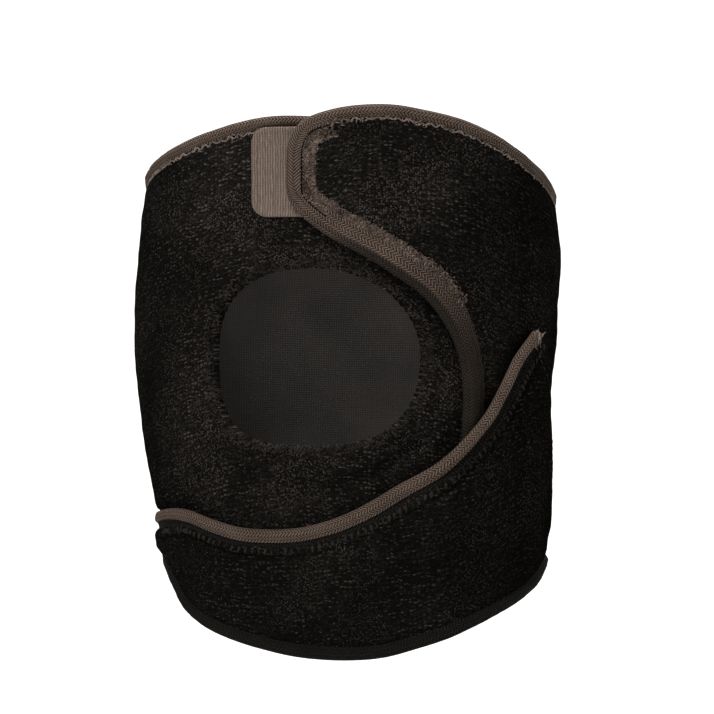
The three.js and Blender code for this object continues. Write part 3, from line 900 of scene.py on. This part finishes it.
def make_body():
    flat, faces = body_layout()
    edge, rim = body_rims(flat)
    inner = FIRST_LAYER - half_thickness(edge) + 0.8 * (1 - arch(rim / 1.6))
    outer = np.maximum(body_outer(flat), inner + 0.25)
    cloth = rows_below(flat, body_top)
    piece = two_sided("body_fabric", flat, faces, outer, inner, cloth, (fabric, lining))
    dress_panel("body_panel")


def wing_grid(low, high, rows):
    """Grid between a wing's paired edges, which are moved inside the tape's fold first."""
    path = np.vstack([high[::-1], low])
    moved = path + inward(path) * PANEL_INSET
    low, high = moved[len(high) :], moved[: len(high)][::-1]
    flat = ladder(low, high, crowded(rows, 0.1))
    return flat.reshape(-1, 2), grid_faces(len(low), rows)


def upper_outer(flat):
    """Outer lift of the upper wing, thin as far as its tape reaches."""
    edge = distance(flat, upper_path[::2])
    front = distance(flat, front_edge[::2]) - (FRONT_TAPE_WIDTH - TOP_TAPE_WIDTH)
    rear = distance(flat, rear_seam)
    lift = upper_level(flat) + half_thickness(np.minimum(edge, front)) * seam_squash(rear)
    free = shown_by(flat, lower_path[::3])
    wide = smooth((np.minimum(edge, front) - 4) / 9)
    lift += free * wide * (0.3 + 0.3 * ripple(flat, 22, 11) + 0.1 * ripple(flat, 7, 12))
    return lift


def make_upper_wing():
    flat, faces = wing_grid(upper_low, upper_high, 110)
    inner = upper_level(flat) - half_thickness(distance(flat, upper_path[::2]))
    outer = upper_outer(flat)
    cloth = rows_below(flat, upper_high)
    piece = two_sided("upper_wing_fabric", flat, faces, outer, inner, cloth, (fabric, lining))
    dress_panel("upper_wing")


GROOVE = 8.7
STRIP_FROM = 3.2
STRIP_TO = 5.6


def lower_inner(flat):
    """Inner lift of the lower wing, which its root seam presses down."""
    press = 1 - smooth(distance(flat, root_seam) / ROOT_REACH)
    edge = distance(flat, lower_path[::2])
    return lower_level(flat) - half_thickness(edge) - ROOT_DROP * press * (edge > EDGE_FLAT_END)


def lower_outer(flat):
    """Outer lift of the lower wing: below its upper edge a flat strip, a stitched groove, then
    the full padding, pressed flat again at the root seam."""
    above = distance(flat, lower_high[::2])
    edge = distance(flat, lower_path[::2])
    plain = half_thickness(edge)
    strip = EDGE_HALF + 0.75 * smooth((above - EDGE_FLAT_END) / 1.2)
    angle = angle_of(flat)
    aside = smooth((-60 - angle) / 15)
    strip -= (1 - aside) * np.exp(-(((above - GROOVE) / 0.6) ** 2))
    stepped = strip + (plain - strip) * smooth((above - GROOVE) / 2.4)
    top = np.where(above < GROOVE + 2.4, np.minimum(stepped, plain + 0.2), plain)
    wide = smooth((edge - 8) / 9)
    top += aside * (1.3 * smooth((edge - 3.5) / 4) + 1.1 * smooth((edge - 8) / 5))
    waves = 0.35 * ripple(flat, 20, 21) + 0.1 * ripple(flat, 7, 22)
    top += wide * (0.4 + 0.8 * smooth((angle - 60) / 20) + waves)
    inner = lower_inner(flat)
    pressed = ROOT_THIN + (1 - ROOT_THIN) * smooth(distance(flat, root_seam) / ROOT_REACH)
    return inner + (lower_level(flat) + top - inner) * pressed


def make_lower_wing():
    flat, faces = wing_grid(lower_low, lower_high, 62)
    cloth = rows_below(flat, lower_high, follow=0.25)
    outer, inner = lower_outer(flat), lower_inner(flat)
    above = distance(flat, lower_high[::2])[faces].mean(axis=1)
    strip = 2 * ((above > STRIP_FROM) & (above < STRIP_TO))
    materials = (fabric, lining, dark_tape)
    piece = two_sided("lower_wing_fabric", flat, faces, outer, inner, cloth, materials, strip)
    dress_panel("lower_wing")


# Edge tapes


# Corners of the tape's section: shares of its outer leg with the drop below its top, then
# distances beyond the roll with lifts on the hidden leg, then the slot that the panel fills
LEG_STOPS = ((1, 0.65), (0.985, 0.22), (0.94, 0.02), (0.8, 0), (0.6, 0), (0.4, 0), (0.2, 0))
UNDER_STOPS = ((1.2, -1.5), (2, -1.25), (2, -0.75))
SLOT_STOPS = ((0.9, -0.6), (0.9, 0.6))
SLOT_LIFT = 0.7


def tape_lift(across, width, roll):
    """Height of the folded tape's outside above the panel's middle: a round roll, then its
    outer leg."""
    fold = FOLD_HALF * arch(across / roll)
    lie = FOLD_HALF + (TAPE_LIE - FOLD_HALF) * smooth((across - roll) / (width - roll))
    return np.where(across < roll, fold, lie)


def tape_section(width, roll):
    """Distances inside the edge and lifts of the section's corners, a row for each path point."""
    level_line = 0 * roll
    section = []
    for share, drop in LEG_STOPS:
        across = roll + (width - roll) * share
        section.append((across, tape_lift(across, width, roll) - drop))
    for turn in np.linspace(math.pi / 2, -math.pi / 2, 13):
        section.append((roll * (1 - math.cos(turn)), level_line + FOLD_HALF * math.sin(turn)))
    section += [(roll + beyond, level_line + lift) for beyond, lift in UNDER_STOPS]
    section += [(level_line + across, level_line + lift) for across, lift in SLOT_STOPS]
    section.append((0.98 * width, level_line + SLOT_LIFT))
    return (np.stack(part, 1) for part in zip(*section))


def make_tape(name, node, tape, materials, second=()):
    """Tape folded over an edge and swept along it. The stretch of the path that second marks
    has the second material."""
    path, width = tape["path"], tape["width"]
    across, lift = tape_section(width, tape["roll"])
    flat = path[:, None] + inward(path)[:, None] * across[..., None]
    pucker = 0.07 * ripple(flat, 3.2, 31) + 0.12 * ripple(flat, 12, 32)
    swollen = lift * (1 + 0.06 * ripple(flat, 9, 33)) + np.where(lift > 0, pucker, 0)
    swollen = swollen * np.where(lift > 0, tape["swell"][:, None], 1)
    points = place(flat, tape["level"](flat) + swollen)
    sides = across.shape[1]
    i, k = np.meshgrid(np.arange(len(path) - 1), np.arange(sides), indexing="ij")
    a, b = i * sides + k, i * sides + (k + 1) % sides
    faces = np.stack([a, b, b + sides, a + sides], -1).reshape(-1, 4)
    last = (len(path) - 1) * sides
    caps = [tuple(range(sides))[::-1], tuple(range(last, last + sides))]
    piece = mesh_object(name, points, [*faces.tolist(), *caps])
    steps = np.hypot(np.diff(across, axis=1), np.diff(lift, axis=1))
    over = np.concatenate([np.zeros((len(path), 1)), np.cumsum(steps, axis=1)], axis=1)
    over = over - over[:, [len(LEG_STOPS)]]
    runs = np.broadcast_to(run_lengths(path)[:, None], across.shape)
    set_uv(piece, np.stack([runs, over], -1).reshape(-1, 2))
    set_materials(piece, materials, np.repeat(second[:-1], sides))
    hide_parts(node)


def plain_tape(path, level, width):
    even = np.ones(len(path))
    return dict(path=path, level=level, width=width * even, roll=FOLD_RADIUS * even, swell=even)


def upper_tape():
    """Narrow along the upper edge, wide round the end and down the front edge."""
    path = upper_edge
    roll = FOLD_RADIUS + (FRONT_FOLD_RADIUS - FOLD_RADIUS) * front_share(path) * (path[:, 1] < 50)
    wide = END_TAPE_WIDTH + (FRONT_TAPE_WIDTH - END_TAPE_WIDTH) * smooth((52 - path[:, 1]) / 14)
    wide -= 2.4 * smooth((32 - path[:, 1]) / 36)
    width = TOP_TAPE_WIDTH + (wide - TOP_TAPE_WIDTH) * front_share(path)
    kernel = np.ones(9) / 9
    roll = np.convolve(np.pad(roll, 4, mode="edge"), kernel, mode="valid")
    width = width + 0.25 * ripple(path, 2.4, 35) * front_share(path)
    return dict(path=path, level=upper_level, width=width, roll=roll, swell=np.ones(len(path)))


body_top_tape = plain_tape(top_edge, body_level, TOP_TAPE_WIDTH)
body_bottom_tape = plain_tape(bottom_edge, body_level, LOWER_TAPE_WIDTH)
upper_wing_tape = upper_tape()
lower_wing_tape = plain_tape(lower_edge, lower_level, LOWER_TAPE_WIDTH)
lower_angle = angle_of(lower_edge)
lower_ends = np.maximum(smooth((-30 - lower_angle) / 40), smooth((lower_angle - 20) / 44))
lower_wing_tape["swell"] = 1 - 0.4 * smooth((-50 - lower_angle) / 25)
lower_wing_tape["width"] = LOWER_TAPE_WIDTH - 1.3 * lower_ends * (lower_edge[:, 1] > height_of(-0.64))


# Heights down the upper wing's front edge where painted shade begins under the tape's fold, begins over
# all of it, and covers all of it
PAINTED_SHADE_HEIGHTS = (50, 30, -4)


def painted_shade_runs():
    """Distances along the upper wing's tape at which painted shade darkens its front stretch."""
    runs, angle, height = run_lengths(upper_edge), angle_of(upper_edge), upper_edge[:, 1]
    down = np.arange(len(upper_edge)) > np.argmin(angle)
    return [float(runs[down & (height < level)][0]) for level in PAINTED_SHADE_HEIGHTS]


def make_tapes():
    front_tape = knit_tape("front_tape", *TAPE_TINTS, 1.15, painted_shade_runs())
    make_tape("body_top_tape", "body_top_binding", body_top_tape, [grey_tape])
    # The bottom binding is the grey tape, painted in shade as it faces down
    make_tape("body_bottom_tape", "body_bottom_binding", body_bottom_tape, [dark_tape])
    round_end = (angle_of(upper_edge) < -2.4) & (upper_edge[:, 1] > 44)
    both = [front_tape, end_tape]
    make_tape("upper_wing_tape", "upper_wing_binding", upper_wing_tape, both, round_end)
    # Along the lower wing's bottom edge the grey tape is painted in shade as it faces down
    under = np.arange(len(lower_edge)) > np.argmin(lower_angle)
    both = [grey_tape, dark_tape]
    make_tape("lower_wing_tape", "lower_wing_binding", lower_wing_tape, both, under)


# Stitches

LOOSE = 0.12


def stitches(name, starts, ends, lift_start, lift_end, bow, radius, material, points=5):
    """One bent bit of thread from each start to each end, sunk a little at both."""
    t = np.linspace(0, 1, points)[None, :]
    flat = starts[:, None] + (ends - starts)[:, None] * t[..., None]
    lift = lift_start[:, None] * (1 - t) + lift_end[:, None] * t
    lift = lift + bow * np.sin(math.pi * t) - 0.12
    paths = place(flat, lift)
    ups = place(flat, lift + 1) - paths
    piece = tubes(name, paths, ups, radius, material)


def zigzag_stitches(name, path, zigzag, lift_at, material):
    """Zigzag seam between two distances inside an edge."""
    line = spaced(path, zigzag["pitch"] / 2)
    across = np.where(np.arange(len(line)) % 2 == 0, zigzag["near"], zigzag["far"])
    across = across + rng.normal(0, LOOSE, len(line))
    flat = line + inward(line) * across[:, None] + rng.normal(0, LOOSE, line.shape)
    lift = lift_at(flat)
    starts, ends, radius = flat[:-1], flat[1:], zigzag["radius"]
    stitches(name, starts, ends, lift[:-1], lift[1:], 0.22, radius, material)


def line_stitches(name, path, inset, pitch, share, lift_at, radius, material):
    """Straight seam: a row of short stitches along an edge."""
    line = spaced(path, pitch)
    step = np.gradient(line, axis=0)
    middle = line + inward(line) * inset
    starts, ends = middle - step * share / 2, middle + step * share / 2
    lift = lift_at(middle)
    stitches(name, starts, ends, lift, lift, 0.15, radius, material)


def cross_stitches(name, path, row, lift_at, material):
    """Slanted stitches side by side between two distances inside an edge."""
    line = spaced(path, row["pitch"])
    ahead = np.gradient(line, axis=0) / row["pitch"]
    starts = line + inward(line) * row["near"] + rng.normal(0, 0.15, line.shape)
    ends = line + inward(line) * row["far"] + ahead * row["slant"] + rng.normal(0, 0.2, line.shape)
    radius = row["radius"] * rng.uniform(0.75, 1.1, len(line))
    stitches(name, starts, ends, lift_at(starts), lift_at(ends), 0.1, radius, material)


def over_tape(flat, tape, surface):
    """Lift of the surface or of the tape that lies over it, whichever is higher."""
    gaps = np.linalg.norm(flat[:, None] - tape["path"][None], axis=2)
    near = np.argmin(gaps, axis=1)
    across, width = gaps[np.arange(len(flat)), near], tape["width"][near]
    raised = tape_lift(across, width, tape["roll"][near]) * tape["swell"][near]
    top = tape["level"](flat) + raised
    return np.where(across < width, np.maximum(surface, top), surface)


def on_body(flat):
    return over_tape(flat, body_top_tape, body_outer(flat))


def on_upper(flat):
    return over_tape(flat, upper_wing_tape, upper_outer(flat))


def on_lower(flat):
    return over_tape(flat, lower_wing_tape, lower_outer(flat))


def part_of(path, keep):
    """The longest run of path points that the mask keeps."""
    marks = np.flatnonzero(keep)
    runs = np.split(marks, np.flatnonzero(np.diff(marks) > 1) + 1)
    return path[max(runs, key=len)]


def fuzz(name, path, near, far, per_mm, long, lift_at, radius, material):
    """Loose bits of thread at all angles between two distances inside an edge."""
    line = spaced(path, 1 / per_mm)
    across = rng.uniform(near, far, len(line))
    middle = line + inward(line) * across[:, None] + rng.normal(0, 0.3, line.shape)
    heading = rng.uniform(0, math.pi, len(line))
    reach = rng.uniform(0.4, 1, len(line)) * long / 2
    offset = np.stack([np.cos(heading), np.sin(heading)], -1) * reach[:, None]
    starts, ends = middle - offset, middle + offset
    lift = lift_at(middle)
    sink = rng.uniform(-0.05, 0.2, len(line))
    stitches(name, starts, ends, lift + sink, lift + sink, 0.25, radius, material, points=4)


TOP_ZIGZAG = dict(near=3.9, far=5.0, pitch=3.2, radius=0.27)
# Near and far side, threads and lint for each millimetre, and the lint's radius
FRONT_FUZZ = (6.9, 9.6, 10, 2, 0.16)
END_FUZZ = (5.0, 8.6, 12, 3, 0.17)
END_LINE = 4.6
OVERLOCK = dict(near=6.0, far=7.8, pitch=2.1, slant=0.7, radius=0.56)


def make_seams():
    upper_angle = angle_of(upper_edge)
    upper_side = np.arange(len(upper_edge)) <= np.argmin(upper_angle)
    tops = (
        ("body_top", part_of(top_edge, angle_of(top_edge) < -4), on_body),
        ("upper_top", part_of(upper_edge, upper_side & (upper_angle > 4)), on_upper),
    )
    near, far = TOP_ZIGZAG["near"], TOP_ZIGZAG["far"]
    for name, path, lift_at in tops:
        zigzag_stitches(f"{name}_seam", path, TOP_ZIGZAG, lift_at, pale_thread)
        fuzz(f"{name}_lint", path, near, far, 1.6, 1.6, lift_at, 0.2, pale_thread)
    end = part_of(upper_edge, (upper_angle < 5) & (upper_edge[:, 1] > 40))
    line_stitches("upper_end_line", end, END_LINE, 1.6, 1.05, on_upper, 0.24, black_thread)
    front = part_of(upper_edge, ~upper_side & (upper_angle > 0) & (upper_edge[:, 1] > 12))
    for name, path, (near, far, many, few, fine) in (
        ("upper_end", end, END_FUZZ),
        ("upper_front", front, FRONT_FUZZ),
    ):
        fuzz(f"{name}_fuzz", path, near, far, many, 1.5, on_upper, 0.17, brown_thread)
        fuzz(f"{name}_lint", path, near, far, few, 1.4, on_upper, fine, pale_thread)


def make_lower_seams():
    upper_side = np.arange(len(lower_edge)) <= np.argmin(lower_angle)
    shown = part_of(lower_edge, upper_side & (lower_angle > -62))
    cross_stitches("lower_overlock", shown, OVERLOCK, on_lower, overlock_thread)
    line_stitches("lower_groove_line", shown, GROOVE, 2.4, 0.5, on_lower, 0.3, black_thread)
    bottom = part_of(lower_edge, ~upper_side)
    line_stitches("lower_bottom_line", bottom, 4.4, 2.6, 0.7, on_lower, 0.2, dark_thread)
    line_stitches("lower_root_line", root_seam, -1.6, 2.6, 0.7, on_lower, 0.24, dark_thread)
    tip = root_seam[:6]
    tack = dict(near=-2.6, far=-0.4, pitch=0.8, radius=0.2)
    zigzag_stitches("lower_tip_bartack", tip, tack, on_lower, brown_thread)
    fuzz("lower_tip_lint", tip, -2.6, 1.2, 6, 2.2, on_lower, 0.15, pale_thread)


def rear_inside(flat):
    """Distance of flat points from the nearer end of the rear seam, along it."""
    return np.minimum(rear_seam[:, 1].max() - flat[:, 1], flat[:, 1] - rear_seam[:, 1].min())


def on_rear(flat):
    squash = seam_squash(np.abs(flat[:, 0] - rear_seam[0, 0]))
    return FIRST_LAYER + half_thickness(rear_inside(flat)) * squash + 0.1


def make_rear_seam():
    """Flat seam at the back, where the wrap and the upper wing are joined."""
    line = rear_seam[rear_inside(rear_seam) > 4]
    flatlock = dict(near=-2.1, far=2.1, pitch=2.2, radius=0.2)
    zigzag_stitches("rear_seam", line, flatlock, on_rear, dark_thread)


def make_whip_stitches():
    """Uneven thread wrapped round the kneecap opening's edge."""
    count = int(hole_stitches * 1.4)
    run = (np.arange(count) + rng.uniform(-0.3, 0.3, count)) / count * hole_runs[-1]
    edge, out = hole_point(run)
    slant = np.stack([-out[:, 1], out[:, 0]], -1) * rng.normal(0.2, 0.9, count)[:, None]
    reach = RIM_OUT + rng.uniform(0.7, 2.2, count)
    starts = edge + out * (RIM_OUT - 0.45)
    ends = edge + out * reach[:, None] + slant
    low = FIRST_LAYER + rng.uniform(-0.6, 0.5, count)
    radius = rng.uniform(0.2, 0.33, count)
    high = body_outer(ends)
    stitches("opening_whip", starts, ends, low, high, 0.8, radius, dark_thread, points=7)
    loops = hole_closed[::-1]
    fuzz("opening_loops", loops, 0.9, 3.8, 3, 1.3, body_outer, 0.22, dark_thread)
    fuzz("opening_fuzz", loops, 0.5, 3.2, 2, 1.8, body_outer, 0.12, dark_thread)


# Fastening tabs

UPPER_TAB = dict(left=-16.5, right=2.5, low=0.558, high=0.917, corner=5)
LOWER_TAB = dict(left=-111, right=-89.5, low=-0.684, high=-0.576, corner=2.5)
TAB_LIFT = 4.1
TAB_THICK = 0.9
TAB_COLUMNS = 48
TAB_ROWS = 40


def make_tab(name, node, tab):
    """Flat piece of hook tape with rounded free corners and a slightly rounded rim."""
    low, high = float(height_of(tab["low"])), float(height_of(tab["high"]))
    left, right = (math.radians(tab[k]) * UNROLL_RADIUS for k in ("left", "right"))
    across = np.linspace(0, 1, TAB_COLUMNS) ** 1.6 * (right - left) + left
    reach = np.maximum(0, tab["corner"] - (across - left))
    drop = tab["corner"] - np.sqrt(tab["corner"] ** 2 - reach**2)
    bottom, top = (np.stack([across, height], -1) for height in (low + drop, high - drop))
    flat = ladder(bottom, top, crowded(TAB_ROWS)).reshape(-1, 2)
    rim = distance(flat, np.vstack([bottom, top[::-1], bottom[:1]]))
    soft = 0.35 * (1 - arch(rim / 0.9))
    wavy = 0.12 * ripple(flat, 14, 41)
    inner = TAB_LIFT + 0 * rim
    outer = TAB_LIFT + TAB_THICK - soft + wavy * smooth((rim - 1) / 4)
    faces = grid_faces(TAB_COLUMNS, TAB_ROWS)
    piece = two_sided(name, flat, faces, outer, inner, flat, (hook_tape, hook_tape))
    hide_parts(node)


make_body()
make_upper_wing()
make_lower_wing()
make_tapes()
make_seams()
make_lower_seams()
make_rear_seam()
make_whip_stitches()
make_tab("upper_tab", "upper_hook_tab", UPPER_TAB)
make_tab("lower_tab", "lower_hook_tab", LOWER_TAB)


# Floor and light

FLOOR_DROP_M = 0.16
BACKDROP_WIDTH_M = 6
BACKDROP_AWAY_M = 1.6
BACKDROP_HIGH_M = 3.0
SWEEP_RADIUS_M = 0.7


def make_stage():
    """Pale floor that sweeps up into a backdrop behind the brace."""
    profile = [(-4.0, 0.0)]
    for turn in np.linspace(0, math.pi / 2, 24):
        along_floor = BACKDROP_AWAY_M - SWEEP_RADIUS_M + SWEEP_RADIUS_M * math.sin(turn)
        profile.append((along_floor, SWEEP_RADIUS_M * (1 - math.cos(turn))))
    profile.append((BACKDROP_AWAY_M, BACKDROP_HIGH_M))
    sides = (-BACKDROP_WIDTH_M / 2, BACKDROP_WIDTH_M / 2)
    points = [(side, away, up - FLOOR_DROP_M) for away, up in profile for side in sides]
    faces = [(2 * k, 2 * k + 1, 2 * k + 3, 2 * k + 2) for k in range(len(profile) - 1)]
    mesh = bpy.data.meshes.new("studio_floor")
    mesh.from_pydata(points, [], faces)
    mesh.polygons.foreach_set("use_smooth", np.ones(len(faces), bool))
    floor = bpy.data.objects.new("studio_floor", mesh)
    bpy.context.scene.collection.objects.link(floor)
    make = Shader("studio_pale", 0.9, specular=0.1)
    make.shader.inputs["Base Color"].default_value = (0.62, 0.62, 0.61, 1)
    mesh.materials.append(make.material)


def make_light(name, place_m, size_m, watts, colour=(1, 1, 1), aim_m=(0, 0, 0)):
    data = bpy.data.lights.new(name, "AREA")
    data.energy, data.size, data.color = watts, size_m, colour
    light = bpy.data.objects.new(name, data)
    light.location = place_m
    heading = Vector(aim_m) - Vector(place_m)
    light.rotation_euler = heading.to_track_quat("-Z", "Y").to_euler()
    bpy.context.scene.collection.objects.link(light)


def make_lights():
    make_light("key", (-0.3, -1.1, 1.25), 0.5, 24, (1, 0.96, 0.92))
    make_light("front_fill", (-0.4, -1.7, 0.4), 0.8, 3, (1, 0.98, 0.96))
    make_light("backdrop", (0.0, 0.5, 2.4), 1.6, 115, aim_m=(0, 1.7, 0.2))
    world = bpy.data.worlds.new("studio")
    world.use_nodes = True
    world.node_tree.nodes["Background"].inputs[0].default_value = (0.97, 0.98, 1, 1)
    world.node_tree.nodes["Background"].inputs[1].default_value = 0.08
    bpy.context.scene.world = world
    bpy.context.scene.view_settings.view_transform = "Standard"


make_stage()
make_lights()
